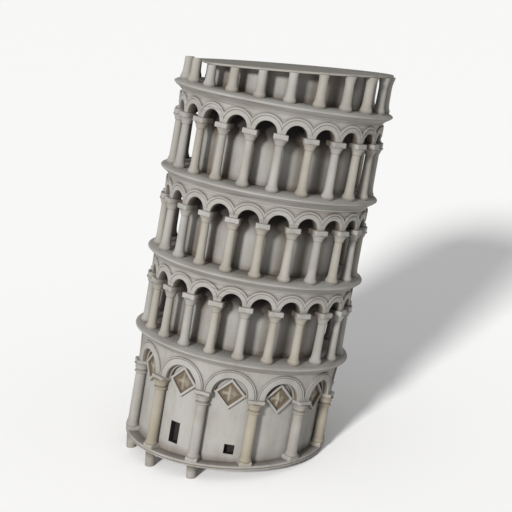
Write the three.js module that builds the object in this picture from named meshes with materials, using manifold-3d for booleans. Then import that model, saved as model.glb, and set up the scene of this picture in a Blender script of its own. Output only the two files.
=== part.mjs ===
// A miniature leaning arcaded bell tower, cast in stone-coloured resin, cut off obliquely above its
// third gallery. Millimetres, +Z up. The tower is drawn upright in its own frame, where the middle
// of the base disc's underside is the origin, and is then leaned as it stands on a table.
import * as THREE from 'three';
import { mergeVertices } from 'three/addons/utils/BufferGeometryUtils.js';
import Module from 'manifold-3d';

const wasm = await Module();
wasm.setup();

// ---- driving dimensions ----
const TURN = Math.PI * 2;
const DEG = Math.PI / 180;
const GAP = 0.3; // between pieces that touch
const LEAN = 11 * DEG; // the storeys' axis from the vertical, towards +X
const BASE_TILT = 6.5 * DEG; // the base disc against the storeys' planes
const CUT_TILT = 4.2 * DEG; // the cut's plane against the storeys' planes
const CUT_SIDE_TILT = 3.2 * DEG;
const TABLE_DEPTH = 0.25; // how far the low rim is rubbed flat

const BASE_RADIUS = 44.3;
const BASE_THICKNESS = 2;

const GROUND_BAYS = 12;
const GROUND_START = 164.6 * DEG; // azimuth of the first ground column
const WALL_RADIUS = 39.5;
const GROUND_COLUMN_CIRCLE = 42;
const GROUND_SHAFT_RADIUS = 2.1;
const GROUND_SPRING = 29.5; // level where the ground arches start
const GROUND_ARCH_RADIUS = 7.7;
const GROUND_ARCADE_RADIUS = 43.3;
const PEG_CIRCLE = 42;
const PEG_REACH = 60 * DEG; // columns this close to the disc's high side go on down as pegs

const LOZENGE_LEVEL = 29.8;
const LOZENGE_HALF = 6.4; // half its diagonal
const LOZENGE_FACE = 41.2; // radius at which its frame faces out

const FLOORS = [46, 80.9, 116.4, 152.5];
const CORNICE_RADIUS = 47.2;
const CORNICE_DEPTH = 4.6;
const CORNICE_DROP = 1.4; // how far the floor falls from the columns' feet to the rim
const CORNICE_EDGE = 0.9;
const FLAT_RADIUS = 45.1; // where the floor starts to fall
const FRIEZE_RADIUS = 43.8;

const BAYS = 22;
const GALLERY_START = 158.4 * DEG; // azimuth of the first gallery's first column
const STOREY_TWIST = 1.2 * DEG; // each storey's columns against those below
const DRUM_RADIUS = 34.5;
const COLUMN_CIRCLE = 42.6;
const SHAFT_RADIUS = 1.65;
const ABACUS_LEVELS = [19.8, 20, 21]; // above each gallery's floor
const ABACUS_HEIGHT = 2.1;
const ABACUS_WIDTH = 6.2;
const ARCH_RADIUS = 4.4;
const ARCADE_INNER = 40.2;

const CUT_HEIGHT = 164.3; // top face of the lid on the tower's axis
const LID_RADIUS = 43.4;
const LID_CENTRE = [0.7, -0.3];
const LID_THICKNESS = 0.9;
const LID_CHORD = 37; // the lid's straight edge from the axis, square to the first top column
const STUB_RISE = 1.2;

// ---- materials ----
const stone = new THREE.MeshStandardMaterial({ color: 0xb9b5ac, roughness: 0.8, metalness: 0 });
const ochre = new THREE.MeshStandardMaterial({ color: 0xb3a68f, roughness: 0.85, metalness: 0 });
const cutGrey = new THREE.MeshStandardMaterial({ color: 0x807d77, roughness: 0.85, metalness: 0 });

// ---- shape helpers ----
function solid(geometry) {
  const bare = geometry.clone();
  bare.deleteAttribute('normal');
  bare.deleteAttribute('uv');
  const merged = mergeVertices(bare, 1e-4);
  const mesh = new wasm.Mesh({
    numProp: 3,
    vertProperties: merged.attributes.position.array,
    triVerts: new Uint32Array(merged.index.array),
  });
  return new wasm.Manifold(mesh);
}

function geometryOf(manifold) {
  const mesh = manifold.getMesh();
  const geometry = new THREE.BufferGeometry();
  geometry.setAttribute('position', new THREE.BufferAttribute(mesh.vertProperties, 3));
  geometry.setIndex(new THREE.BufferAttribute(mesh.triVerts, 1));
  geometry.computeVertexNormals();
  return geometry;
}

// A solid of revolution about +Z from [radius, height] points that start and end on the axis.
function turned(points, segments, azimuth = 0) {
  const profile = points.map(([radius, height]) => new THREE.Vector2(radius, height));
  const geometry = new THREE.LatheGeometry(profile, segments, azimuth + TURN / 4, TURN);
  return geometry.rotateX(TURN / 4);
}

// A ring of revolution whose section is the closed loop of [radius, height] points.
function ring(points, segments, azimuth = 0) {
  return turned([...points, points[0]], segments, azimuth);
}

// A box with its inner and outer faces square to the radius at this azimuth.
function radialBox(inner, outer, width, bottom, top, azimuth) {
  const geometry = new THREE.BoxGeometry(outer - inner, width, top - bottom);
  geometry.translate((inner + outer) / 2, 0, (bottom + top) / 2);
  return geometry.rotateZ(azimuth);
}

// An outline in the tangent plane at this azimuth, pushed out from one radius to another.
function radialPrism(shape, inner, outer, curveSegments, azimuth) {
  const geometry = new THREE.ExtrudeGeometry(shape, {
    depth: outer - inner,
    bevelEnabled: false,
    curveSegments,
  });
  geometry.rotateX(TURN / 4).rotateZ(TURN / 4);
  return geometry.translate(inner, 0, 0).rotateZ(azimuth);
}

// The opening under one arch: a half circle on a short straight skirt.
function archOpening(radius, spring, skirt) {
  const shape = new THREE.Shape();
  shape.moveTo(-radius, spring - skirt);
  shape.lineTo(radius, spring - skirt);
  shape.lineTo(radius, spring);
  shape.absarc(0, spring, radius, 0, Math.PI, false);
  shape.closePath();
  return shape;
}

function diamond(half, level) {
  const shape = new THREE.Shape();
  shape.moveTo(0, level - half);
  shape.lineTo(half, level);
  shape.lineTo(0, level + half);
  shape.lineTo(-half, level);
  shape.closePath();
  return shape;
}

// A big block that fills everything on one side of a plane, for cutting: side 1 above, -1 below.
function halfSpace(plane, offset, side) {
  const size = 400;
  const geometry = new THREE.BoxGeometry(size, size, size);
  geometry.translate(0, 0, offset + (side * size) / 2);
  return solid(geometry.applyMatrix4(plane));
}

function joined(parts) {
  return parts.reduce((whole, part) => whole.add(part));
}

function placedAt(geometry, radius, azimuth) {
  return geometry.translate(radius * Math.cos(azimuth), radius * Math.sin(azimuth), 0);
}

function columnAzimuth(storey, k) {
  return GALLERY_START + STOREY_TWIST * (storey - 1) + (TURN * k) / BAYS;
}

// ---- planes in the tower's frame ----
const basePlane = new THREE.Matrix4().makeRotationY(-BASE_TILT);

const topPlane = new THREE.Matrix4().makeRotationY(-CUT_TILT);
topPlane.premultiply(new THREE.Matrix4().makeRotationX(-CUT_SIDE_TILT));
topPlane.setPosition(0, 0, CUT_HEIGHT);

// The table, seen from the tower's frame: square to the vertical, through the disc's lowest rim.
const tablePlane = new THREE.Matrix4().makeRotationY(-LEAN);
const toStanding = new THREE.Matrix4().makeRotationY(LEAN);
const discNormal = new THREE.Vector3(0, 0, 1).transformDirection(basePlane).transformDirection(toStanding);
const rimDrop = BASE_RADIUS * Math.hypot(discNormal.x, discNormal.y);
const TABLE_LEVEL = TABLE_DEPTH - rimDrop;

const tower = new THREE.Group();
tower.rotation.y = LEAN;

function addPiece(name, geometry, material) {
  const mesh = new THREE.Mesh(geometry, material);
  mesh.name = name;
  tower.add(mesh);
}

function numbered(name, k) {
  return `${name}_${String(k + 1).padStart(2, '0')}`;
}

// ---- base disc, with holes for the columns that go on down as pegs ----
const groundAzimuths = [...Array(GROUND_BAYS).keys()].map((k) => GROUND_START + (TURN * k) / GROUND_BAYS);
const hasPeg = (azimuth) => Math.cos(azimuth - Math.PI) > Math.cos(PEG_REACH);

// A pin square to the disc, from well under it to a level inside the column's foot.
function pin(radius, top, azimuth) {
  const bottom = -14;
  const profile = [[0, bottom], [radius, bottom], [radius, top], [0, top]];
  return solid(placedAt(turned(profile, 10, azimuth), PEG_CIRCLE, azimuth).applyMatrix4(basePlane));
}

function baseDisc() {
  const profile = [[0, 0], [BASE_RADIUS, 0], [BASE_RADIUS, BASE_THICKNESS], [0, BASE_THICKNESS]];
  let disc = solid(turned(profile, 48).applyMatrix4(basePlane));
  for (const azimuth of groundAzimuths.filter(hasPeg)) {
    disc = disc.subtract(pin(GROUND_SHAFT_RADIUS + GAP, 12, azimuth));
  }
  return geometryOf(disc.subtract(halfSpace(tablePlane, TABLE_LEVEL, -1)));
}
addPiece('base_disc', baseDisc(), stone);

// ---- ground storey ----
const underBase = halfSpace(basePlane, BASE_THICKNESS + GAP, -1);
const underTable = halfSpace(tablePlane, TABLE_LEVEL, -1);
const groundTop = FLOORS[0] - CORNICE_DEPTH - GAP;

const TALL_WINDOW = { azimuth: 208.1 * DEG, width: 4.6, bottom: 2.3, top: 11.5 };
const SMALL_WINDOW = { azimuth: 244.5 * DEG, width: 4.25, bottom: 3.6, top: 7.7 };
const WINDOW_DEPTH = 3;

// The round wall and, in one casting with it, the blind arches it carries.
function groundWall() {
  const radius = WALL_RADIUS;
  const outer = GROUND_ARCADE_RADIUS;
  const blank = [[0, -8], [radius, -8], [radius, groundTop], [0, groundTop]];
  let drum = solid(turned(blank, 48, groundAzimuths[0]));
  for (const { azimuth, width, bottom, top } of [TALL_WINDOW, SMALL_WINDOW]) {
    const recess = radialBox(radius - WINDOW_DEPTH, radius + 2, width, bottom, top, azimuth);
    drum = drum.subtract(solid(recess));
  }
  const inner = radius - 2;
  const section = [[inner, GROUND_SPRING], [outer, GROUND_SPRING], [outer, groundTop], [inner, groundTop]];
  let band = solid(ring(section, 3 * GROUND_BAYS, groundAzimuths[0]));
  for (const azimuth of groundAzimuths) {
    const opening = archOpening(GROUND_ARCH_RADIUS, GROUND_SPRING, 2);
    const cutter = radialPrism(opening, inner - 2, outer + 2, 6, azimuth + Math.PI / GROUND_BAYS);
    band = band.subtract(solid(cutter));
  }
  return geometryOf(drum.add(band).subtract(underBase));
}
addPiece('ground_wall', groundWall(), stone);

function wallBlank(bottom, top) {
  const radius = WALL_RADIUS + GAP;
  return solid(turned([[0, bottom], [radius, bottom], [radius, top], [0, top]], 48, groundAzimuths[0]));
}

function groundColumn(azimuth) {
  const shaft = GROUND_SHAFT_RADIUS;
  const capital = GROUND_SPRING - GAP;
  const bell = [[0, -8], [shaft, -8], [shaft, capital - 6.4], [2.9, capital - 5.6], [2.4, capital - 4.4]];
  bell.push([3.1, capital - 1.3], [0, capital - 1.3]);
  const column = placedAt(turned(bell, 10, azimuth), GROUND_COLUMN_CIRCLE, azimuth);
  const abacus = radialBox(WALL_RADIUS, GROUND_COLUMN_CIRCLE + 3, 7.2, capital - 1.4, capital, azimuth);
  const plinth = radialBox(WALL_RADIUS, GROUND_COLUMN_CIRCLE + 2.2, 5.2, -8, 5, azimuth);
  const foot = solid(plinth).subtract(halfSpace(basePlane, BASE_THICKNESS + 1.8, 1));
  const whole = joined([solid(column), solid(abacus), foot]).subtract(underBase);
  const piece = hasPeg(azimuth) ? whole.add(pin(shaft, BASE_THICKNESS + 1.5, azimuth)) : whole;
  const wallSpace = wallBlank(-9, capital + 1).subtract(underBase);
  return geometryOf(piece.subtract(wallSpace).subtract(underTable));
}
groundAzimuths.forEach((azimuth, k) => {
  addPiece(numbered('ground_column', k), groundColumn(azimuth), k % 2 ? ochre : stone);
});

function lozenge(azimuth) {
  const frame = 1.1;
  const recess = 0.9;
  const back = WALL_RADIUS - 1.5;
  const block = solid(radialPrism(diamond(LOZENGE_HALF, LOZENGE_LEVEL), back, LOZENGE_FACE, 1, azimuth));
  const inside = diamond(LOZENGE_HALF - frame * Math.SQRT2, LOZENGE_LEVEL);
  const hollow = solid(radialPrism(inside, LOZENGE_FACE - recess, LOZENGE_FACE + 1, 1, azimuth));
  return geometryOf(block.subtract(hollow).subtract(wallBlank(15, 45)));
}
groundAzimuths.forEach((azimuth, k) => {
  addPiece(numbered('lozenge', k), lozenge(azimuth + Math.PI / GROUND_BAYS), ochre);
});

// ---- cornices, each one a floor slab whose rim falls away over a moulded edge ----
function cornice(floor) {
  const bottom = floor - CORNICE_DEPTH;
  const rim = floor - CORNICE_DROP;
  const profile = [[0, bottom], [FRIEZE_RADIUS, bottom], [FRIEZE_RADIUS + 1, floor - 3.4]];
  profile.push([CORNICE_RADIUS, rim - CORNICE_EDGE], [CORNICE_RADIUS, rim], [FLAT_RADIUS, floor], [0, floor]);
  return turned(profile, 36);
}
FLOORS.forEach((floor, k) => addPiece(`cornice_${k + 1}`, cornice(floor), stone));

// ---- galleries ----
function galleryDrum(bottom, top) {
  return turned([[0, bottom], [DRUM_RADIUS, bottom], [DRUM_RADIUS, top], [0, top]], 32);
}

const wallHalfAngle = Math.PI / BAYS;
const arcadeOuter = FRIEZE_RADIUS / Math.cos(wallHalfAngle / 2);

function galleryArcade(storey) {
  const floor = FLOORS[storey - 1];
  const foot = floor + GAP;
  const abacusBottom = floor + ABACUS_LEVELS[storey - 1];
  const spring = abacusBottom + ABACUS_HEIGHT;
  const top = FLOORS[storey] - CORNICE_DEPTH - GAP;
  const start = columnAzimuth(storey, 0);
  const section = [[ARCADE_INNER, spring], [arcadeOuter, spring], [arcadeOuter, top], [ARCADE_INNER, top]];
  let wall = solid(ring(section, BAYS, start));
  const parts = [];
  for (let k = 0; k < BAYS; k += 1) {
    const azimuth = columnAzimuth(storey, k);
    const opening = archOpening(ARCH_RADIUS, spring, 1);
    const cutter = radialPrism(opening, ARCADE_INNER - 2, arcadeOuter + 2, 5, azimuth + wallHalfAngle);
    wall = wall.subtract(solid(cutter));
    const profile = [[0, foot], [2.4, foot], [SHAFT_RADIUS, foot + 3], [SHAFT_RADIUS, abacusBottom - 2.6]];
    profile.push([2.5, abacusBottom + 0.1], [0, abacusBottom + 0.1]);
    parts.push(solid(placedAt(turned(profile, 6, azimuth), COLUMN_CIRCLE, azimuth)));
    const outer = FRIEZE_RADIUS + 1.3;
    const inner = ARCADE_INNER - 1.2;
    const abacus = radialBox(inner, outer, ABACUS_WIDTH, abacusBottom, spring + 0.1, azimuth);
    parts.push(solid(abacus));
  }
  return geometryOf(joined([wall, ...parts]));
}

for (const storey of [1, 2, 3]) {
  const top = FLOORS[storey] - CORNICE_DEPTH - GAP;
  addPiece(`gallery_${storey}_drum`, galleryDrum(FLOORS[storey - 1] + GAP, top), stone);
  addPiece(`gallery_${storey}_arcade`, galleryArcade(storey), stone);
}

// ---- the fourth gallery, cut through by a slanting plane and closed by a thin lid ----
const topFloor = FLOORS[3];
const overLid = halfSpace(topPlane, -LID_THICKNESS - GAP, 1);
const overStubs = halfSpace(topPlane, STUB_RISE, 1);
const drumBlank = solid(galleryDrum(topFloor + GAP, topFloor + 30));
addPiece('gallery_4_drum', geometryOf(drumBlank.subtract(overLid)), stone);

// How far out a point at this radius and azimuth lies towards the lid's straight edge.
const towardsChord = (radius, azimuth) => radius * Math.cos(azimuth - columnAzimuth(4, 0));

function lid() {
  const profile = [[0, -LID_THICKNESS], [LID_RADIUS, -LID_THICKNESS], [LID_RADIUS, 0], [0, 0]];
  const disc = turned(profile, 48).translate(...LID_CENTRE, 0).applyMatrix4(topPlane);
  const beyond = new THREE.BoxGeometry(40, 200, 100).translate(LID_CHORD + 20, 0, CUT_HEIGHT);
  return geometryOf(solid(disc).subtract(solid(beyond.rotateZ(columnAzimuth(4, 0)))));
}
addPiece('top_lid', lid(), cutGrey);

function topColumn(azimuth) {
  const foot = topFloor + GAP;
  const profile = [[0, foot], [2.4, foot], [SHAFT_RADIUS, foot + 3], [SHAFT_RADIUS, topFloor + 11]];
  profile.push([2.6, topFloor + 15], [2.6, topFloor + 24], [0, topFloor + 24]);
  const column = solid(placedAt(turned(profile, 8, azimuth), COLUMN_CIRCLE, azimuth));
  const isStub = towardsChord(COLUMN_CIRCLE, azimuth) - SHAFT_RADIUS > LID_CHORD + GAP;
  return geometryOf(column.subtract(isStub ? overStubs : overLid));
}
for (let k = 0; k < BAYS; k += 1) {
  addPiece(numbered('top_column', k), topColumn(columnAzimuth(4, k)), k % 3 === 1 ? ochre : stone);
}

// ---- stand it on the origin: foot of the table plane at zero, centred under its bounding box ----
const group = new THREE.Group();
group.add(tower);
group.updateMatrixWorld(true);
const bounds = new THREE.Box3().setFromObject(group, true);
const middle = bounds.getCenter(new THREE.Vector3());
group.position.set(-middle.x, -middle.y, -bounds.min.z);

export default group;
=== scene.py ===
"""A miniature leaning arcaded tower in cast, washed resin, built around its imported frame.

Every shape is worked out in the tower's own upright frame in millimetres, where the middle of the
base disc's underside is the origin, and is then leaned and set down as the frame stands.
"""
import math

import bmesh
import bpy
import numpy as np
from mathutils import Matrix, Vector


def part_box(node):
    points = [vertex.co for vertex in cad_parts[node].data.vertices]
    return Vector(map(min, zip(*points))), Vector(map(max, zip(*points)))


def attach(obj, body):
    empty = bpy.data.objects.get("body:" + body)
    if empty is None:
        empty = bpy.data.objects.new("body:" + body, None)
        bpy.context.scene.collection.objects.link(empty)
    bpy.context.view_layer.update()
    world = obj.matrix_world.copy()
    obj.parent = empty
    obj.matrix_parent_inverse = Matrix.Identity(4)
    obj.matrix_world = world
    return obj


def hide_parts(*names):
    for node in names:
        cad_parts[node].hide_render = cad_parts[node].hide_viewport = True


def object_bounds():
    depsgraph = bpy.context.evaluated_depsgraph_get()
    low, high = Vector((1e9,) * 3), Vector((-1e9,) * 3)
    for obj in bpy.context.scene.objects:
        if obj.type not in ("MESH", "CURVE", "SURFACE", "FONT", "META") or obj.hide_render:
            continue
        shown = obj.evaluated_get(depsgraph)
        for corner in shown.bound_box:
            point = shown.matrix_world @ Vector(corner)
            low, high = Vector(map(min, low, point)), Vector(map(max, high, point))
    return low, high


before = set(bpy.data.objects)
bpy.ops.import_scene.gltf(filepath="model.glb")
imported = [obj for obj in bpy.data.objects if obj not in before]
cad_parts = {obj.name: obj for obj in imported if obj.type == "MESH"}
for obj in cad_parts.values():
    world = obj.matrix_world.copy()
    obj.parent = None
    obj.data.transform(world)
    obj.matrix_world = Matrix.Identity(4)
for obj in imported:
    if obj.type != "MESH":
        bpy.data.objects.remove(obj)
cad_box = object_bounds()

TURN = 2 * math.pi
DEG = math.pi / 180
MM = 0.001
rng = np.random.default_rng(1173)

# ---- driving dimensions, as the frame has them, in millimetres ----
LEAN = 11 * DEG
BASE_TILT = 6.5 * DEG
CUT_TILT = 4.2 * DEG
CUT_SIDE_TILT = 3.2 * DEG

BASE_RADIUS = 44.3
BASE_THICKNESS = 2.0

GROUND_BAYS = 12
GROUND_START = 164.6 * DEG
WALL_RADIUS = 39.5
GROUND_COLUMN_CIRCLE = 42.0
GROUND_SHAFT_RADIUS = 2.1
GROUND_SPRING = 29.5
GROUND_ARCH_RADIUS = 7.7
GROUND_ARCADE_RADIUS = 43.3
PEG_CIRCLE = 42.0
PEG_REACH = 60 * DEG

LOZENGE_LEVEL = 29.8
LOZENGE_HALF_WIDTH = 6.912
LOZENGE_HALF_HEIGHT = 6.656
LOZENGE_FACE = 41.2

FLOORS = [46.0, 80.9, 116.4, 152.5]
CORNICE_RADIUS = 47.2
CORNICE_DEPTH = 4.6
FRIEZE_RADIUS = 43.8

BAYS = 22
GALLERY_START = 158.4 * DEG
STOREY_TWIST = 1.2 * DEG
DRUM_RADIUS = 34.5
COLUMN_CIRCLE = 42.6
SHAFT_RADIUS = 1.65
ABACUS_LEVELS = [19.8, 20.0, 21.0]
ABACUS_HEIGHT = 2.1
ABACUS_WIDTH = 6.2
ARCH_RADIUS = 4.4
ARCADE_INNER = 40.2

CUT_HEIGHT = 164.3
CUT_COLUMN_RISE = 11.0
LID_RADIUS = 43.4
LID_CENTRE = np.array([0.7, -0.3])
LID_THICKNESS = 0.9
LID_CHORD = 37.0
STUB_RISE = 1.2
GAP = 0.3

TALL_WINDOW = {"azimuth": 208.1 * DEG, "width": 4.6, "bottom": 2.3, "top": 11.5}
SMALL_WINDOW = {"azimuth": 244.5 * DEG, "width": 4.25, "bottom": 3.6, "top": 7.7}
WINDOW_DEPTH = 3.0


# ---- placing ----
def turn_y(angle):
    """The matrix that turns about Y."""
    c, s = math.cos(angle), math.sin(angle)
    return np.array([[c, 0, s], [0, 1, 0], [-s, 0, c]])


def turn_x(angle):
    """The matrix that turns about X."""
    c, s = math.cos(angle), math.sin(angle)
    return np.array([[1, 0, 0], [0, c, -s], [0, s, c]])


LEANING = turn_y(LEAN)
drum_low, drum_high = (np.array(corner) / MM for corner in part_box("gallery_1_drum"))
drum_middle = (FLOORS[0] + FLOORS[1] - CORNICE_DEPTH) / 2
ORIGIN = (drum_low + drum_high) / 2 - LEANING @ np.array([0, 0, drum_middle])
BASE_TURN = turn_y(-BASE_TILT)
TOP_TURN = turn_x(-CUT_SIDE_TILT) @ turn_y(-CUT_TILT)


def standing(points):
    """Tower millimetres to frame metres: leaned, moved to the frame's origin, never under the table."""
    stood = points @ LEANING.T + ORIGIN
    stood[..., 2] = np.maximum(stood[..., 2], 0.0)
    return stood * MM


def cut_by_table(points, axis):
    """Slides points that lie under the table back along the axis until they are on it."""
    height = (points @ LEANING.T + ORIGIN)[..., 2:]
    return points - axis * np.minimum(height, 0) / (LEANING @ axis)[2]


def plane_level(turned, height, x, y):
    """The level of a tilted plane above each x, y: height less the normal's x and y shares."""
    normal = turned[:, 2]
    return height - (normal[0] * x + normal[1] * y) / normal[2]


def column_azimuth(storey, k):
    """The azimuth of a gallery's column; each storey is turned a little against the one below."""
    return GALLERY_START + STOREY_TWIST * (storey - 1) + TURN * k / BAYS


# ---- meshes from grids ----
class Patches:
    """Grids of points with a value each for brown wash and painted shade, for tint, and for black paint and
    painted black shade, gathered into one welded mesh.
    """

    FIELDS = ("wash", "tint", "soot")

    def __init__(self):
        self.points = []
        self.values = []
        self.quads = []
        self.count = 0

    def add(self, points, wash=0.0, tint=0.0, soot=0.0, close_u=False, close_v=False, keep=None):
        """One grid (u, v, 3).

        Closing a direction joins its last row to its first, and keep says which quads are made.
        """
        nu, nv = points.shape[:2]
        self.points.append(points.reshape(-1, 3))
        layers = [np.broadcast_to(np.asarray(f, float), (nu, nv)).ravel() for f in (wash, tint, soot)]
        self.values.append(np.stack(layers, 1))
        index = np.arange(nu * nv).reshape(nu, nv) + self.count
        across = np.concatenate([index, index[:1]]) if close_u else index
        across = np.concatenate([across, across[:, :1]], 1) if close_v else across
        corners = (across[:-1, :-1], across[1:, :-1], across[1:, 1:], across[:-1, 1:])
        quads = np.stack(corners, -1)
        self.quads.append(quads[keep] if keep is not None else quads.reshape(-1, 4))
        self.count += nu * nv

    def object(self, name, sharp=38 * DEG):
        """Welds points a few thousandths of a millimetre apart and turns every face outwards.

        A quad with two corners welded into one becomes a triangle, and one with more is dropped.
        """
        points = standing(np.concatenate(self.points))
        values = np.concatenate(self.values)
        quads = np.concatenate(self.quads)
        cells = np.round(points / (0.004 * MM)).astype(np.int64)
        _, first, back = np.unique(cells, axis=0, return_index=True, return_inverse=True)
        quads = back.reshape(-1)[quads]
        doubled = quads == np.roll(quads, -1, 1)
        whole, pinched = ~doubled.any(1), doubled.sum(1) == 1
        triangles = quads[pinched][~doubled[pinched]].reshape(-1, 3)
        mesh = bpy.data.meshes.new(name)
        mesh.from_pydata(points[first].tolist(), [], quads[whole].tolist() + triangles.tolist())
        for field, column in zip(self.FIELDS, values[first].T):
            layer = mesh.attributes.new(field, "FLOAT", "POINT")
            layer.data.foreach_set("value", column.astype(np.float32))
        work = bmesh.new()
        work.from_mesh(mesh)
        bmesh.ops.remove_doubles(work, verts=work.verts, dist=0.002 * MM)
        loose = [v for v in work.verts if not v.link_faces]
        bmesh.ops.delete(work, geom=loose, context="VERTS")
        bmesh.ops.recalc_face_normals(work, faces=work.faces)
        work.to_mesh(mesh)
        work.free()
        mesh.shade_smooth()
        mesh.set_sharp_from_angle(angle=sharp)
        made = bpy.data.objects.new(name, mesh)
        bpy.context.scene.collection.objects.link(made)
        return made


def softened(corners, round_off, steps=4):
    """A polyline with each inner corner turned into a short parabola.

    Rows of corners start with two lengths, such as radius and level, and end with the brown wash and painted
    shade there.
    The parabola runs between points round_off away on either side,
    or half way along a shorter stretch, with the corner as its control point.
    """
    p = np.asarray(corners, float)
    before, corner, after = p[:-2], p[1:-1], p[2:]
    reach_in = np.linalg.norm((before - corner)[:, :2], axis=1)
    reach_out = np.linalg.norm((after - corner)[:, :2], axis=1)
    a = np.minimum(round_off / np.maximum(reach_in, 1e-9), 0.49)[:, None]
    b = np.minimum(round_off / np.maximum(reach_out, 1e-9), 0.49)[:, None]
    start, end = corner + (before - corner) * a, corner + (after - corner) * b
    t = np.linspace(0, 1, steps + 1)[None, :, None]
    bend = (1 - t) ** 2 * start[:, None] + 2 * t * (1 - t) * corner[:, None] + t**2 * end[:, None]
    return np.concatenate([p[:1], bend.reshape(-1, p.shape[1]), p[-1:]])


def lathe(profile, segments, start=0.0):
    """A profile swept round the axis: x, y are the radius times the azimuth's cosine and sine."""
    azimuth = start + np.linspace(0, TURN, segments, endpoint=False)[:, None]
    radius, level = profile[None, :, 0], profile[None, :, 1]
    return np.stack(np.broadcast_arrays(radius * np.cos(azimuth), radius * np.sin(azimuth), level), -1)


def placed(points, radius, azimuth):
    """Moves points drawn about the axis, with +x outwards, to a radius and azimuth on the tower."""
    c, s = np.cos(azimuth), np.sin(azimuth)
    x, y = points[..., 0] + radius, points[..., 1]
    return np.stack([x * c - y * s, x * s + y * c, points[..., 2]], -1)


def block(half_out, half_across, profile):
    """A rounded rectangular block: a superellipse in plan, drawn in by the profile's inset.

    profile rows are (inset, level); an inset as large as the half width closes the block.
    """
    segments, squareness = 56, 16.0
    t = np.linspace(0, TURN, segments, endpoint=False)[:, None]
    c, s = np.cos(t), np.sin(t)
    reach = (np.abs(c) ** squareness + np.abs(s) ** squareness) ** (-1 / squareness)
    inset, level = profile[None, :, 0], profile[None, :, 1]
    x = np.maximum(half_out - inset, 0) * reach * c
    y = np.maximum(half_across - inset, 0) * reach * s
    return np.stack(np.broadcast_arrays(x, y, level), -1)


def arch_band(patches, bays, start, spring, top, back, face, relief, arc_steps):
    """A ring wall pierced by half-round arches, with a moulded face round each arch.

    In each bay a ray runs from the arch's centre at every angle, out to the bay's rectangle. Along
    it the face stands at face + relief(distance), so that neighbouring mouldings run into each
    other where the bay is narrower than they are, and behind it the wall ends at the back radius.
    relief rows are (distance, rise, wash), the wash being brown wash and painted shade, with the first at
    the opening's edge.
    """
    half, height = face * math.pi / bays, top - spring
    corner = math.atan2(height, half)
    side = np.linspace(0, corner, arc_steps)
    over = np.linspace(corner, math.pi - corner, 2 * arc_steps)
    angle = np.concatenate([side, over[1:-1], math.pi - side[::-1]])[:, None]
    to_side = half / np.maximum(np.abs(np.cos(angle)), 1e-9)
    to_top = height / np.maximum(np.sin(angle), 1e-9)
    limit = np.minimum(to_side, to_top)
    moulded = np.minimum(relief[None, :, 0], limit)
    plain = moulded[:, -1:] + (limit - moulded[:, -1:]) * np.linspace(0, 1, 4)[None, 1:]
    distance = np.concatenate([moulded, plain], 1)
    rise = np.interp(distance, relief[:, 0], relief[:, 1])
    wash = np.interp(distance, relief[:, 0], relief[:, 2])
    along, level = distance * np.cos(angle), spring + distance * np.sin(angle)
    count = distance.shape[1]
    # no face closes a bay's sides, because the next bay's front and back go on from there
    keep = np.ones((len(angle) - 1, 2 * count), bool)
    keep[: arc_steps - 1, count - 1] = False
    keep[-(arc_steps - 1):, count - 1] = False
    for k in range(bays):
        azimuth = start + TURN * (k + 0.5) / bays + along / face
        front, rear = (np.stack([radius * np.cos(azimuth), radius * np.sin(azimuth), level], -1)
                       for radius in (face + rise, back + 0 * rise))
        loop = np.concatenate([front, rear[:, ::-1]], 1)
        # the front takes the relief's brown wash and painted shade; the rear face, towards the drum, is
        # painted full brown and black as shade
        wash_and_rear_shade = np.concatenate([wash, 1 + 0 * wash], 1)
        rear_black_shade = np.concatenate([0 * wash, 1 + 0 * wash], 1)
        patches.add(loop, wash=wash_and_rear_shade, soot=rear_black_shade, close_v=True, keep=keep)
        # the bay ends are painted half brown as shade
        for end in (0, -1):
            patches.add(np.stack([front[end], rear[end]]), wash=0.6)


def finish_piece(made, material, nodes):
    """Gives a piece its material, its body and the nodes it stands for."""
    made.data.materials.append(material)
    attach(made, "root")
    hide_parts(*nodes)


# ---- shaders ----
class Value:
    """A number socket; + - * on it add Math nodes."""

    def __init__(self, shader, socket):
        self.shader = shader
        self.socket = socket

    def maths(self, operation, *others):
        """A Math node of this value and the others, in that order."""
        inputs = dict(enumerate([self.socket, *others]))
        return Value(self.shader, self.shader.node("ShaderNodeMath", {"operation": operation}, inputs))

    def __add__(self, other):
        return self.maths("ADD", other)

    def __radd__(self, other):
        return self.maths("ADD", other)

    def __sub__(self, other):
        return self.maths("SUBTRACT", other)

    def __rsub__(self, other):
        return self.maths("MULTIPLY", -1.0).maths("ADD", other)

    def __mul__(self, other):
        return self.maths("MULTIPLY", other)

    def __rmul__(self, other):
        return self.maths("MULTIPLY", other)

    def clamp(self):
        """The value held between 0 and 1."""
        return self.maths("MINIMUM", 1.0).maths("MAXIMUM", 0.0)

    def step(self, low, high):
        """0 below low, 1 above high, smooth between."""
        settings = {"interpolation_type": "SMOOTHSTEP"}
        inputs = {"Value": self.socket, "From Min": low, "From Max": high}
        return Value(self.shader, self.shader.node("ShaderNodeMapRange", settings, inputs))


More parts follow.
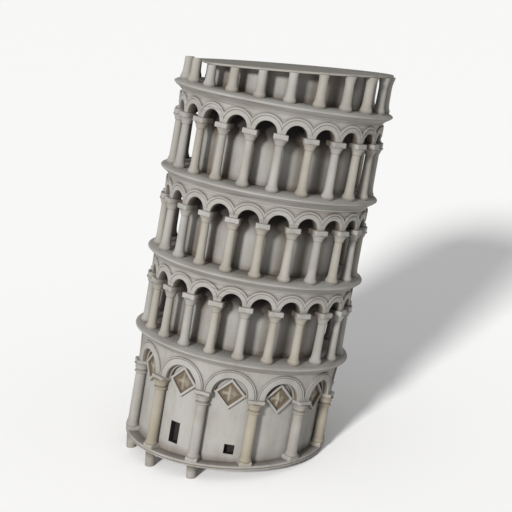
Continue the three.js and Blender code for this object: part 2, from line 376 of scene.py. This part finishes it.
class Shader:
    """One material and its nodes."""

    def __init__(self, name):
        self.material = bpy.data.materials.new(name)
        self.material.use_nodes = True
        self.tree = self.material.node_tree
        self.surface = self.tree.nodes["Principled BSDF"]

    def node(self, kind, settings=None, inputs=None, output=0):
        """Adds a node, sets it up, feeds its sockets with values or links, and returns an output."""
        made = self.tree.nodes.new(kind)
        for key, value in (settings or {}).items():
            setattr(made, key, value)
        for key, value in (inputs or {}).items():
            value = value.socket if isinstance(value, Value) else value
            if isinstance(value, bpy.types.NodeSocket):
                self.tree.links.new(value, made.inputs[key])
            else:
                made.inputs[key].default_value = value
        return made.outputs[output]

    def field(self, name):
        """A value stored on the piece's points."""
        return Value(self, self.node("ShaderNodeAttribute", {"attribute_name": name}, output="Fac"))

    def noise(self, size_mm, detail=3.0, roughness=0.5, stretch=(1, 1, 1)):
        """Noise whose blotches are about size_mm across, stretched along the tower's own axes."""
        leaned = {"Vector": self.node("ShaderNodeTexCoord", output="Object"), "Angle": -LEAN}
        upright = self.node("ShaderNodeVectorRotate", {"rotation_type": "Y_AXIS"}, leaned)
        where = self.node("ShaderNodeMapping", None, {"Vector": upright, "Scale": stretch})
        inputs = {"Vector": where, "Scale": 1 / (size_mm * MM), "Detail": detail, "Roughness": roughness}
        return Value(self, self.node("ShaderNodeTexNoise", None, inputs, "Fac"))

    def mix(self, factor, first, second):
        """Two colours mixed by a value."""
        inputs = {0: factor, 6: first, 7: second}
        return self.node("ShaderNodeMix", {"data_type": "RGBA"}, inputs, 2)

    def feed(self, name, value):
        """Links a value or colour to one of the surface's sockets."""
        self.tree.links.new(value.socket if isinstance(value, Value) else value, self.surface.inputs[name])

    def bump(self, height, distance_mm):
        """Roughens the surface by a height value, which stands for this many millimetres."""
        inputs = {"Height": height, "Distance": distance_mm * MM}
        self.feed("Normal", self.node("ShaderNodeBump", None, inputs, "Normal"))


def srgb(red, green, blue):
    """A colour named by its 0 to 255 display values."""
    value = np.array([red, green, blue]) / 255
    linear = np.where(value <= 0.04045, value / 12.92, ((value + 0.055) / 1.055) ** 2.4)
    return (*linear.tolist(), 1.0)


PALE_SKIN = srgb(146, 144, 140)
GREY_SKIN = srgb(134, 131, 126)
OCHRE_TINT = srgb(141, 133, 117)
BROWN_WASH_AND_SHADE = srgb(74, 62, 46)
BLACK_PAINT_AND_SHADE = srgb(30, 26, 23)
CUT_PALE = srgb(128, 125, 119)
CUT_DARK = srgb(117, 114, 108)
CUT_RIM = srgb(136, 132, 126)


def cast_stone(name, streak_mm, stretch, streaked):
    """Matt cast resin: a pale skin, cloudy greyer patches, and a brown that is partly a thin wash where it
    gathers and partly painted shade in recesses, under ledges and behind columns.

    The wash-and-shade value is broken up by streaks, which run the way stretch says and show on plain faces
    as far as streaked says; the tint washes whole columns ochre; the black value paints the window recesses
    black and paints black shade under the ledges, at the drums' heads and behind the arches.
    """
    s = Shader(name)
    cloud = s.noise(14, 4, 0.55)
    streak = s.noise(streak_mm, 3, 0.6, stretch)
    speckle = s.noise(0.5, 2, 0.6)
    skin = s.mix((cloud * 0.7 + streak * 0.3).step(0.35, 0.7), PALE_SKIN, GREY_SKIN)
    lines = streak.step(0.5, 0.75) * streaked
    # brown wash and painted shade, broken up by streaks and speckle
    wash_and_shade_amount = (s.field("wash") * 1.25 + (streak - 0.5) * 0.5 + (speckle - 0.5) * 0.2 + lines).clamp()
    tinted = s.mix((s.field("tint") * (0.55 + 0.6 * cloud)).clamp(), skin, OCHRE_TINT)
    washed_and_shaded = s.mix(wash_and_shade_amount * 0.85, tinted, BROWN_WASH_AND_SHADE)
    # black paint in the windows, painted black shade elsewhere
    s.feed("Base Color", s.mix(s.field("soot").clamp(), washed_and_shaded, BLACK_PAINT_AND_SHADE))
    s.feed("Roughness", 0.72 + 0.2 * cloud)
    s.surface.inputs["Specular IOR Level"].default_value = 0.35
    fine = s.noise(0.22, 3, 0.6)
    dents = s.noise(2.6, 2, 0.5)
    s.bump(fine * 0.3 + dents * 0.55 + streak * 0.15, 0.1)
    return s.material


stone = cast_stone("cast_stone", 5, (1.0, 1.0, 0.25), 0.0)
lined_stone = cast_stone("lined_stone", 1.3, (0.05, 0.05, 1.0), 0.35)


def sawn_grey():
    """The slanting cut: flat grey, with a fine even tooth and faint blotches; the tint pales its rim."""
    s = Shader("sawn_grey")
    cloud = s.noise(9, 4, 0.6)
    tooth = s.noise(0.35, 3, 0.7)
    sawn = s.mix(cloud.step(0.3, 0.7), CUT_PALE, CUT_DARK)
    s.feed("Base Color", s.mix(s.field("tint"), sawn, CUT_RIM))
    s.feed("Roughness", 0.8 + 0.15 * cloud)
    s.surface.inputs["Specular IOR Level"].default_value = 0.3
    s.bump(tooth, 0.12)
    return s.material


cut_grey = sawn_grey()

# ---- base disc ----
GROUND_AZIMUTHS = [GROUND_START + TURN * k / GROUND_BAYS for k in range(GROUND_BAYS)]


def base_disc():
    """A thin turned disc: two beads with a groove between them round its edge, a sunk top."""
    r, t = BASE_RADIUS, BASE_THICKNESS
    corners = [(0, 0, 0.4), (r - 0.7, 0, 0.5), (r, 0.15, 0.15), (r, 0.75, 0.1), (r - 0.3, 0.85, 0.9)]
    corners += [(r - 0.3, 1.0, 0.9), (r, 1.1, 0.1), (r, t - 0.1, 0.0), (r - 0.5, t, 0.0)]
    corners += [(r - 1.0, t - 0.02, 0.25), (WALL_RADIUS + 0.5, t, 0.6), (0, t, 0.9)]
    # the third value of each corner is brown wash and painted shade: most in the groove, at the wall's foot
    # and in the middle under the drum
    profile = softened(corners, 0.25)
    patches = Patches()
    patches.add(lathe(profile, 180) @ BASE_TURN.T, wash=profile[None, :, 2], close_u=True)
    return patches.object("base_disc_cast")


finish_piece(base_disc(), stone, ["base_disc"])


# ---- ground storey ----
GROUND_TOP = FLOORS[0] - CORNICE_DEPTH


def ground_drum():
    """A drum as a field of radii over azimuth and level, stepped in at its two windows.

    Rows of levels start on the tilted base; each window's edges get close lines on either side, so
    that its jambs, sill and head stand square and its black paint stops at the wall's face.
    """
    close = np.array([-0.06, -0.03, 0.03, 0.06])
    azimuth = [np.linspace(0, TURN, 144, endpoint=False)]
    level = [np.linspace(8, GROUND_TOP, 24)]
    for window in (TALL_WINDOW, SMALL_WINDOW):
        half = window["width"] / 2 / WALL_RADIUS
        edges = [window["azimuth"] - half, window["azimuth"] + half]
        azimuth += [e + close / WALL_RADIUS for e in edges]
        level += [e + close for e in (window["bottom"], window["top"])]
    azimuth = np.unique(np.concatenate(azimuth))[:, None]
    level = np.unique(np.concatenate(level))
    radius = np.full((len(azimuth), len(level)), WALL_RADIUS)
    soot = np.zeros_like(radius)
    for window in (TALL_WINDOW, SMALL_WINDOW):
        half = window["width"] / 2 / WALL_RADIUS
        aside = (np.abs(azimuth - window["azimuth"]) - half) * WALL_RADIUS
        middle = (window["bottom"] + window["top"]) / 2
        beyond = np.abs(level - middle) - (window["top"] - window["bottom"]) / 2
        outside = np.maximum(aside, beyond[None, :])
        radius = np.where(outside < 0, WALL_RADIUS - WINDOW_DEPTH, radius)
        soot = np.where(outside < 0.045, 1.0, soot)
    x, y = np.cos(azimuth), np.sin(azimuth)
    floor = plane_level(BASE_TURN, BASE_THICKNESS, WALL_RADIUS * x, WALL_RADIUS * y)
    upward = np.maximum(level[None, :], floor)
    wall = np.stack(np.broadcast_arrays(radius * x, radius * y, upward), -1)
    foot = np.stack([WALL_RADIUS * x, WALL_RADIUS * y, floor], -1)
    under = np.stack([0 * x, 0 * x, 0 * x + BASE_THICKNESS], -1)
    head = np.stack([0 * x, 0 * x, 0 * x + level[-1]], -1)
    # brown wash and painted shade darken the wall at its foot and below the cornice
    foot_wash_and_shade = np.exp(-(upward - floor) / 1.2) * 0.55
    head_wash_and_shade = np.exp(-np.maximum(GROUND_TOP - 2 - level, 0) / 4.0)[None, :] * 0.3
    wash = np.concatenate([0.7 + 0 * x, 0.6 + 0 * x, foot_wash_and_shade + head_wash_and_shade, 0.5 + 0 * x], 1)
    blank = np.zeros((len(azimuth), 1))
    soot = np.concatenate([blank, blank, soot, blank], 1)
    patches = Patches()
    patches.add(np.concatenate([under, foot, wall, head], 1), wash=wash, soot=soot, close_u=True)
    return patches.object("ground_drum_cast", 30 * DEG)


finish_piece(ground_drum(), stone, ["ground_wall"])


def has_peg(azimuth):
    """True near the disc's high side, where columns go on down to the table as pegs."""
    return math.cos(azimuth - math.pi) > math.cos(PEG_REACH)


def ground_column(k, azimuth):
    """An engaged column: plinth, shaft, ring, bell and slab, and, near the high side, a peg.

    The shaft and bell are a turned profile; plinth and slab are rounded blocks. The peg is a plain
    pin square to the disc, whose foot is where the table stops it.
    """
    x, y = GROUND_COLUMN_CIRCLE * math.cos(azimuth), GROUND_COLUMN_CIRCLE * math.sin(azimuth)
    foot = float(plane_level(BASE_TURN, BASE_THICKNESS, x, y))
    cap = GROUND_SPRING
    pin = GROUND_SHAFT_RADIUS
    shaft = pin + 0.2 + rng.uniform(-0.06, 0.06)
    # the third value of each corner is brown wash and painted shade, heaviest in the creases at the foot,
    # ring and bell
    corners = [(0, foot, 0.5), (shaft + 0.55, foot + 1.5, 0.5), (shaft + 0.5, foot + 2.3, 0.1)]
    corners += [(shaft + 0.05, foot + 3.4, 0.15), (shaft, (foot + cap) / 2, 0.0)]
    corners += [(shaft - 0.1, cap - 6.3, 0.05), (shaft + 0.05, cap - 6.0, 0.4)]
    corners += [(shaft + 0.6, cap - 5.8, 0.05), (shaft + 0.6, cap - 5.2, 0.0)]
    corners += [(shaft + 0.1, cap - 4.9, 0.5), (shaft + 0.15, cap - 4.3, 0.35)]
    corners += [(shaft + 0.55, cap - 4.0, 0.05), (shaft + 0.5, cap - 3.0, 0.2)]
    corners += [(shaft + 0.9, cap - 2.1, 0.05), (shaft + 1.3, cap - 1.7, 0.3), (0, cap - 1.6, 0.3)]
    profile = softened(corners, 0.3)
    tint = 0.95 if k % 2 else 0.08
    patches = Patches()
    turned = placed(lathe(profile, 28), GROUND_COLUMN_CIRCLE, azimuth)
    patches.add(turned, wash=profile[None, :, 2] + 0.04, tint=tint, close_u=True)
    rows = [(9, cap - 1.8, 0.4), (0.35, cap - 1.75, 0.4), (0.0, cap - 1.3, 0)]
    slab = softened(rows + [(0.0, cap - 0.2, 0), (0.2, cap, 0), (9, cap, 0)], 0.15)
    out = (GROUND_COLUMN_CIRCLE + 3 - WALL_RADIUS + 1) / 2
    rounded = placed(block(out, 3.55, slab), WALL_RADIUS - 1 + out, azimuth)
    patches.add(rounded, wash=slab[None, :, 2] + 0.06, tint=tint * 0.25, close_u=True)
    sole = softened([(9, -1.0, 0.3), (0, -1.0, 0.3), (0, 1.6, 0), (0.5, 1.9, 0), (9, 1.9, 0.3)], 0.2)
    out = (GROUND_COLUMN_CIRCLE + 2.2 - WALL_RADIUS + 1) / 2
    rounded = placed(block(out, 2.7, sole), WALL_RADIUS - 1 + out, azimuth)
    rounded[..., 2] += plane_level(BASE_TURN, BASE_THICKNESS, rounded[..., 0], rounded[..., 1])
    patches.add(rounded, wash=sole[None, :, 2], tint=tint * 0.4, close_u=True)
    if has_peg(azimuth):
        end = [(0, -16, 0.2), (pin, -16, 0.3), (pin, -3, 0.2), (pin, 0, 0.8), (pin, BASE_THICKNESS, 0)]
        end = np.array(end + [(0, BASE_THICKNESS, 0)])
        peg = cut_by_table(placed(lathe(end, 28), PEG_CIRCLE, azimuth) @ BASE_TURN.T, BASE_TURN[:, 2])
        patches.add(peg, wash=end[None, :, 2], tint=0.15, close_u=True)
    return patches.object(f"ground_column_{k + 1:02d}_cast")


for k, azimuth in enumerate(GROUND_AZIMUTHS):
    finish_piece(ground_column(k, azimuth), stone, [f"ground_column_{k + 1:02d}"])


def ground_arcade():
    """The blind arcade: a sunk inner order, a broad flat outer order and a thin bead round it."""
    r = GROUND_ARCH_RADIUS
    # the third values are brown wash and painted shade in the soffit, the sunk inner order and the grooves
    corners = [(r - 0.7, -2.5, 0.8), (r - 0.6, -2.2, 0.2), (r - 0.1, -2.1, 0.4), (r - 0.02, -2.0, 0.9)]
    corners += [(r, -0.3, 0.5), (r + 0.3, 0.25, 0.0), (r + 2.5, 0.4, 0.0), (r + 2.7, 0.3, 0.1)]
    corners += [(r + 2.8, 0.0, 0.6), (r + 2.9, 0.05, 0.4), (r + 3.05, 0.5, 0.0), (r + 3.4, 0.5, 0.0)]
    corners += [(r + 3.55, -0.1, 0.6), (r + 3.65, -0.25, 0.35), (r + 4.3, -0.4, 0.1)]
    relief = softened(corners, 0.1, 3)
    patches = Patches()
    arch_band(patches, GROUND_BAYS, GROUND_AZIMUTHS[0], GROUND_SPRING - 0.1, GROUND_TOP, WALL_RADIUS - 0.5,
              GROUND_ARCADE_RADIUS, relief, 12)
    return patches.object("ground_arcade_cast")


finish_piece(ground_arcade(), stone, ["ground_wall"])


def lozenge(k, azimuth):
    """A square set on its corner: raised frame, sunk panel, and a four-ridged point in it.

    Rings of diamonds grow from the middle; the rise of each ring follows the profile, the panel
    sinks further between the ridges that run to the corners, and crossed waves leave it uneven.
    """
    side = np.linspace(0, 1, 12, endpoint=False)
    across = np.concatenate([1 - side, -side, side - 1, side])[:, None]
    upward = np.concatenate([side, 1 - side, -side, side - 1])[:, None]
    corners = [(0.0, 0.7, 0.0), (0.16, 0.4, 0.15), (0.45, 0.1, 0.45), (0.62, 0.0, 0.9), (0.755, 0.05, 1.2)]
    corners += [(0.79, 1.15, 0.0), (0.97, 1.2, 0.0), (1.0, 1.0, 0.1), (1.0, -1.9, 0.9)]
    ring = softened(corners, 0.03, 3)
    reach, rise, wash = ring[None, :, 0], ring[None, :, 1], ring[None, :, 2]
    ridge = np.abs(np.abs(across) - np.abs(upward))
    dip = np.where(reach < 0.72, (1 - ridge) * np.sin(np.clip(reach / 0.72, 0, 1) * math.pi) * 0.3, 0.0)
    chipped = np.sin(9 * across * reach + 2 * k) * np.sin(11 * upward * reach + k)
    chipped = chipped + np.sin(17 * reach * across + 3)
    uneven = np.where(reach < 0.7, 0.09 * chipped * np.minimum(reach * 4, 1), 0.0)
    radius = LOZENGE_FACE - 1.2 + rise - dip + uneven
    turn = azimuth + across * reach * LOZENGE_HALF_WIDTH / LOZENGE_FACE
    level = LOZENGE_LEVEL + upward * reach * LOZENGE_HALF_HEIGHT
    points = np.stack(np.broadcast_arrays(radius * np.cos(turn), radius * np.sin(turn), level), -1)
    paint = np.where(reach < 0.77, 0.9, 0.1) + 0 * across
    patches = Patches()
    # brown wash and painted shade darken the recess towards its frame, between the ridges and in the low
    # spots, and less on the bumps
    patches.add(points, wash=wash + dip - 2 * uneven, tint=paint, close_u=True)
    return patches.object(f"lozenge_{k + 1:02d}_cast", 25 * DEG)


for k, azimuth in enumerate(GROUND_AZIMUTHS):
    panel = lozenge(k, azimuth + math.pi / GROUND_BAYS)
    finish_piece(panel, stone, [f"lozenge_{k + 1:02d}"])


# ---- cornices ----
def cornice(k, floor):
    """A floor slab falling to a rounded rim, with two fine beads and a cove down to the frieze."""
    r, f = CORNICE_RADIUS, FRIEZE_RADIUS
    corners = [(0, floor, 0.3), (DRUM_RADIUS + 0.4, floor, 0.5), (DRUM_RADIUS + 3.5, floor, 0.15)]
    corners += [(f - 2.5, floor - 0.02, 0.05), (f + 0.3, floor - 0.3, 0.0), (r - 1.0, floor - 0.95, 0.0)]
    corners += [(r - 0.2, floor - 1.35, 0.0), (r, floor - 1.7, 0.0), (r - 0.1, floor - 2.1, 0.05)]
    corners += [(r - 0.5, floor - 2.3, 0.5), (r - 0.6, floor - 2.5, 0.25), (r - 1.0, floor - 2.8, 0.1)]
    corners += [(r - 1.2, floor - 2.95, 0.3), (r - 1.5, floor - 3.1, 0.1), (f + 1.1, floor - 3.6, 0.2)]
    corners += [(f + 0.95, floor - 3.75, 0.4), (f + 0.6, floor - 4.0, 0.15)]
    low = floor - CORNICE_DEPTH
    profile = softened(corners + [(f + 0.15, low, 0.25), (f - 0.6, low, 0.6), (0, low, 1.0)], 0.2)
    # brown wash and painted shade darken the floor by the drum, the grooves and the underside, and the
    # underside within the frieze is painted black as shade
    under = (profile[:, 1] < low + 0.01) & (profile[:, 0] < f - 0.5)
    patches = Patches()
    patches.add(lathe(profile, 220), wash=profile[None, :, 2], soot=0.95 * under[None, :], close_u=True)
    return patches.object(f"cornice_{k + 1}_cast", 50 * DEG)


for k, floor in enumerate(FLOORS):
    finish_piece(cornice(k, floor), lined_stone, [f"cornice_{k + 1}"])


# ---- galleries ----
DRUM_MERIDIANS = 220


def column_shade_bands(storey, meridians):
    """Painted shade of the columns on the drum, in brown, behind each column: half a raised cosine squared,
    in each bay.
    """
    azimuth = np.linspace(0, TURN, meridians, endpoint=False)[:, None] - column_azimuth(storey, 0)
    return 0.5 * ((1 + np.cos(BAYS * azimuth)) / 2) ** 2


def gallery_drum(storey):
    """A plain turned drum with a small cove at its foot, darkened low down by brown wash and painted shade,
    and up under the arches by painted shade that turns black at its head.
    """
    floor, top = FLOORS[storey - 1], FLOORS[storey] - CORNICE_DEPTH
    r = DRUM_RADIUS
    corners = [(0, floor, 0.5), (r + 0.25, floor, 0.8), (r, floor + 0.5, 0.55), (r, floor + 2.5, 0.12)]
    corners += [(r, floor + 14, 0.05), (r, floor + 18, 0.35), (r, floor + 21, 0.8), (r, floor + 24, 1.0)]
    profile = softened(corners + [(r, top, 1.0), (0, top, 1.0)], 0.6)
    # painted black shade from the capitals' level up to the head
    soot = np.clip((profile[None, :, 1] - floor - 17) / 5, 0, 1)
    column_shade = column_shade_bands(storey, DRUM_MERIDIANS)
    patches = Patches()
    patches.add(lathe(profile, DRUM_MERIDIANS), wash=profile[None, :, 2] + column_shade, soot=soot, close_u=True)
    return patches.object(f"gallery_{storey}_drum_cast", 50 * DEG)


def gallery_columns(storey):
    """Free columns on a circle, each a turned profile, a little uneven as castings are.

    From a bell-shaped foot the shaft tapers up to a flare that carries the block over it.
    """
    floor, cap = FLOORS[storey - 1], ABACUS_LEVELS[storey - 1]
    s = SHAFT_RADIUS
    # the third values are brown wash and painted shade in the creases of foot and capital
    corners = [(0, -0.6, 0.5), (s + 0.9, -0.6, 0.6), (s + 1.0, 0.2, 0.35), (s + 0.95, 1.0, 0.05)]
    corners += [(s + 0.55, 1.7, 0.1), (s + 0.3, 2.6, 0.05), (s + 0.18, 4.2, 0.0), (s + 0.1, 9, 0.0)]
    corners += [(s, cap - 3.2, 0.05), (s, cap - 2.7, 0.25), (s + 0.35, cap - 2.4, 0.05)]
    corners += [(s + 0.42, cap - 1.8, 0.1), (s + 0.8, cap - 0.9, 0.05), (s + 1.25, cap - 0.35, 0.1)]
    corners += [(s + 1.35, cap + 0.05, 0.5), (0, cap + 0.1, 0.5)]
    profile = softened(corners, 0.4)
    patches = Patches()
    for k in range(BAYS):
        shape = lathe(profile * np.array([1 + rng.uniform(-0.03, 0.05), 1, 1]), 22)
        shape[..., :2] += shape[..., 2:] * rng.uniform(-0.012, 0.012, 2)
        shape[..., 2] += floor
        tint = max(0.0, rng.uniform(-0.3, 0.6))
        turned = placed(shape, COLUMN_CIRCLE, column_azimuth(storey, k))
        patches.add(turned, wash=profile[None, :, 2], tint=tint, close_u=True)
    return patches.object(f"gallery_{storey}_columns")


def gallery_imposts(storey):
    """The crisp blocks over the columns, running back towards the drum."""
    low = FLOORS[storey - 1] + ABACUS_LEVELS[storey - 1]
    high = low + ABACUS_HEIGHT
    rows = [(9, low, 0.6), (0.12, low, 0.4), (0.0, low + 0.12, 0.05), (0.0, high - 0.2, 0), (0.2, high, 0.2)]
    profile = softened(rows + [(9, high, 0.3)], 0.12)
    inner, outer = ARCADE_INNER - 1.2, FRIEZE_RADIUS + 1.4
    patches = Patches()
    for k in range(BAYS):
        shape = block((outer - inner) / 2, ABACUS_WIDTH / 2 + rng.uniform(-0.15, 0.1), profile)
        shape[..., 2] += shape[..., 1] * rng.uniform(-0.02, 0.02)
        # painted shade, brown and part black, on the blocks' inner ends, which run in under the arches
        inner_shade = np.clip((outer - inner) / 2 - 1.2 - shape[..., 0], 0, 3) / 3
        turned = placed(shape, (outer + inner) / 2, column_azimuth(storey, k))
        patches.add(turned, wash=profile[None, :, 2] + inner_shade, soot=0.4 * inner_shade, close_u=True)
    return patches.object(f"gallery_{storey}_imposts")


def gallery_arches(storey):
    """Round arches with a flat inner order and a rounded bead, under a plain frieze."""
    spring = FLOORS[storey - 1] + ABACUS_LEVELS[storey - 1] + ABACUS_HEIGHT
    frieze_top = FLOORS[storey] - CORNICE_DEPTH
    start, r, f = column_azimuth(storey, 0), ARCH_RADIUS, FRIEZE_RADIUS - 0.2
    # the third values are brown wash and painted shade round the opening and in the grooves
    corners = [(r, -0.1, 0.6), (r + 0.15, 0.2, 0.05), (r + 1.75, 0.3, 0.0), (r + 1.9, 0.22, 0.15)]
    corners += [(r + 2.0, 0.0, 0.35), (r + 2.12, 0.05, 0.25), (r + 2.25, 0.5, 0.0), (r + 2.8, 0.55, 0.0)]
    corners += [(r + 3.0, 0.3, 0.1), (r + 3.1, -0.2, 0.7), (r + 3.3, -0.35, 0.35), (r + 4.4, -0.4, 0.1)]
    relief = softened(corners, 0.1, 3)
    patches = Patches()
    arch_band(patches, BAYS, start, spring - 0.1, spring + 7.8, ARCADE_INNER, f, relief, 9)
    # the frieze's back, towards the drum, is darkened fully as painted shade
    rows = [(ARCADE_INNER, spring + 7.7, 1.0), (f - 0.4, spring + 7.7, 0.2), (f - 0.3, spring + 7.9, 0.4)]
    rows += [(f, spring + 8.0, 0.05), (f + 0.05, frieze_top, 0.2), (ARCADE_INNER, frieze_top, 1.0)]
    line = softened(rows, 0.1)
    patches.add(lathe(line, 220, start), wash=line[None, :, 2], close_u=True, close_v=True)
    return patches.object(f"gallery_{storey}_arches")


for storey in (1, 2, 3):
    finish_piece(gallery_drum(storey), stone, [f"gallery_{storey}_drum"])
    arcade = [f"gallery_{storey}_arcade"]
    finish_piece(gallery_columns(storey), stone, arcade)
    finish_piece(gallery_imposts(storey), stone, arcade)
    finish_piece(gallery_arches(storey), lined_stone, arcade)


# ---- the cut gallery ----
def cut_to(profile, centre_radius, azimuth, offset, segments, rows=26):
    """A turned profile stopped by the slanting cut.

    Every meridian is sampled from its foot up to the level where the plane, raised by offset,
    crosses it, and the last row closes on the middle of the cut.
    """
    bearing = np.linspace(0, TURN, segments, endpoint=False)[:, None]
    out = np.interp(CUT_COLUMN_RISE, profile[:, 1], profile[:, 0])
    ring = np.stack([out * np.cos(bearing), out * np.sin(bearing), 0 * bearing], -1)
    edge = placed(ring, centre_radius, azimuth)
    stop = plane_level(TOP_TURN, CUT_HEIGHT, edge[..., 0], edge[..., 1]) + offset - FLOORS[3]
    middle = placed(np.zeros((1, 1, 3)), centre_radius, azimuth)
    top = plane_level(TOP_TURN, CUT_HEIGHT, middle[..., 0], middle[..., 1]) + offset - FLOORS[3]
    share = np.linspace(0, 1, rows)[None, :] ** 1.3
    foot = profile[0, 1]
    level = foot + share * (stop - foot)
    radius = np.interp(level, profile[:, 1], profile[:, 0])
    wash = np.interp(level, profile[:, 1], profile[:, 2])
    level = np.concatenate([level[:, :1], level, 0 * stop + top], 1)
    radius = np.concatenate([0 * stop, radius, 0 * stop], 1)
    wash = np.concatenate([0.4 + 0 * stop, wash, 0.3 + 0 * stop], 1)
    shape = np.stack([radius * np.cos(bearing), radius * np.sin(bearing), level + FLOORS[3]], -1)
    return placed(shape, centre_radius, azimuth), wash


def top_drum():
    """The cut gallery's drum, which stops at the underside of the lid."""
    # brown wash and painted shade: dark at the foot, then turning full brown up under the lid, and painted
    # shade behind each column
    corners = [(DRUM_RADIUS + 0.25, 0, 0.7), (DRUM_RADIUS, 0.5, 0.5), (DRUM_RADIUS, 2.5, 0.12)]
    profile = softened(corners + [(DRUM_RADIUS, 8, 0.05), (DRUM_RADIUS, 30, 1.0)], 0.4)
    points, wash = cut_to(profile, 0.0, 0.0, -LID_THICKNESS, DRUM_MERIDIANS)
    patches = Patches()
    patches.add(points, wash=wash + column_shade_bands(4, DRUM_MERIDIANS), close_u=True)
    return patches.object("gallery_4_drum_cast", 50 * DEG)


finish_piece(top_drum(), stone, ["gallery_4_drum"])


def top_column(k):
    """A column of the cut gallery; the three beyond the lid's straight edge rise past it."""
    s, azimuth = SHAFT_RADIUS, column_azimuth(4, k)
    stub = COLUMN_CIRCLE * math.cos(azimuth - column_azimuth(4, 0)) - s > LID_CHORD + GAP
    # the third values are brown wash and painted shade, most at the foot and rising again up the flare
    corners = [(s + 0.9, -0.6, 0.6), (s + 1.0, 0.2, 0.35), (s + 0.95, 1.0, 0.05), (s + 0.6, 1.7, 0.1)]
    corners += [(s + 0.38, 2.6, 0.05), (s + 0.25, 4.2, 0.0), (s + 0.15, 10.5, 0.0), (s + 0.3, 12.0, 0.05)]
    corners += [(s + 0.95, 15, 0.15), (s + 1.1, 26, 0.3)]
    profile = softened(corners, 0.5) * np.array([1 + rng.uniform(-0.03, 0.05), 1, 1])
    rise = STUB_RISE + rng.uniform(-0.5, 0.1) if stub else -LID_THICKNESS
    points, wash = cut_to(profile, COLUMN_CIRCLE, azimuth, rise, 24)
    patches = Patches()
    patches.add(points, wash=wash, tint=max(0.0, rng.uniform(-0.3, 0.35)), close_u=True)
    return patches.object(f"top_column_{k + 1:02d}_cast")


for k in range(BAYS):
    finish_piece(top_column(k), stone, [f"top_column_{k + 1:02d}"])


def top_lid():
    """A thin disc in the plane of the cut, its outline the circle or, where nearer, the chord.

    The outline swells slightly over each column. Rows hold inset, level and rim paint, and the
    rows whose inset is 1 close on the middle.
    """
    azimuth = np.linspace(0, TURN, 352, endpoint=False)[:, None]
    first = column_azimuth(4, 0)
    facing = np.cos(azimuth - first)
    toward = np.array([math.cos(first), math.sin(first)])
    chord = (LID_CHORD - LID_CENTRE @ toward) / np.maximum(facing, 0.2)
    swell = 0.3 * np.maximum(np.cos(BAYS * (azimuth - first)), 0) ** 3
    outline = np.where(facing > 0.5, np.minimum(LID_RADIUS + swell, chord), LID_RADIUS + swell)
    t = LID_THICKNESS
    rows = [(1.0, 0, 0.0), (0.12, 0, 0.0), (0.0, -0.1, 1.0)]
    profile = softened(rows + [(0.0, -t + 0.1, 1.0), (0.15, -t, 1.0), (1.0, -t, 1.0)], 0.08)
    inset = profile[None, :, 0]
    radius = np.where(inset >= 0.999, 0.0, outline - inset)
    x, y = radius * np.cos(azimuth) + LID_CENTRE[0], radius * np.sin(azimuth) + LID_CENTRE[1]
    flat = np.stack(np.broadcast_arrays(x, y, profile[None, :, 1]), -1)
    patches = Patches()
    patches.add(flat @ TOP_TURN.T + np.array([0, 0, CUT_HEIGHT]), tint=profile[None, :, 2], close_u=True)
    return patches.object("top_lid_cast")


finish_piece(top_lid(), cut_grey, ["top_lid"])

# ---- floor, light and camera ----
box_low, box_high = (np.array(corner) for corner in cad_box)
MIDDLE = (box_low + box_high) / 2


def floor_sweep():
    """A square of pale floor, wide enough to fill the view."""
    mesh = bpy.data.meshes.new("studio_floor")
    half = 12.0
    corners = [(-half, -half, 0), (half, -half, 0), (half, half, 0), (-half, half, 0)]
    mesh.from_pydata(corners, [], [(0, 1, 2, 3)])
    made = bpy.data.objects.new("studio_floor", mesh)
    bpy.context.scene.collection.objects.link(made)
    s = Shader("pale_floor")
    s.surface.inputs["Base Color"].default_value = (0.97, 0.97, 0.97, 1)
    s.surface.inputs["Roughness"].default_value = 0.9
    s.surface.inputs["Specular IOR Level"].default_value = 0.1
    mesh.materials.append(s.material)


floor_sweep()


def aimed(made, position, target):
    """Puts an object at a position with its -Z towards the target."""
    way = Vector(target) - Vector(position)
    turn = way.to_track_quat("-Z", "Y").to_matrix()
    made.matrix_world = Matrix.Translation(Vector(position)) @ turn.to_4x4()


def around(azimuth, elevation, distance, target):
    """A place seen from the target at an azimuth from -Y towards -X, an elevation and a distance."""
    a, e = azimuth * DEG, elevation * DEG
    way = np.array([-math.sin(a) * math.cos(e), -math.cos(a) * math.cos(e), math.sin(e)])
    return np.asarray(target) + way * distance


# the key stands to the camera's left and a little over it, and the world fills the shadows
key = bpy.data.lights.new("key", "SUN")
key.energy = 4.0
key.angle = 9 * DEG
key.color = (1.0, 0.995, 0.985)
key_lamp = bpy.data.objects.new("key", key)
bpy.context.scene.collection.objects.link(key_lamp)
aimed(key_lamp, around(52, 24, 1.0, MIDDLE), MIDDLE)

world = bpy.data.worlds.new("studio_world")
world.use_nodes = True
world.node_tree.nodes["Background"].inputs["Color"].default_value = (1, 1, 1, 1)
world.node_tree.nodes["Background"].inputs["Strength"].default_value = 0.46
bpy.context.scene.world = world
bpy.context.scene.view_settings.view_transform = "Standard"

camera = bpy.data.objects.new("camera", bpy.data.cameras.new("camera"))
camera.data.lens = 93.0
camera.data.sensor_width = 36.0
bpy.context.scene.collection.objects.link(camera)
VIEW_TARGET = np.array([-0.4, 0.0, 82.9]) * MM
VIEW_AZIMUTH, VIEW_ELEVATION, VIEW_DISTANCE = 27.1, 15.94, 0.5772
aimed(camera, around(VIEW_AZIMUTH, VIEW_ELEVATION, VIEW_DISTANCE, VIEW_TARGET), VIEW_TARGET)
bpy.context.scene.camera = camera
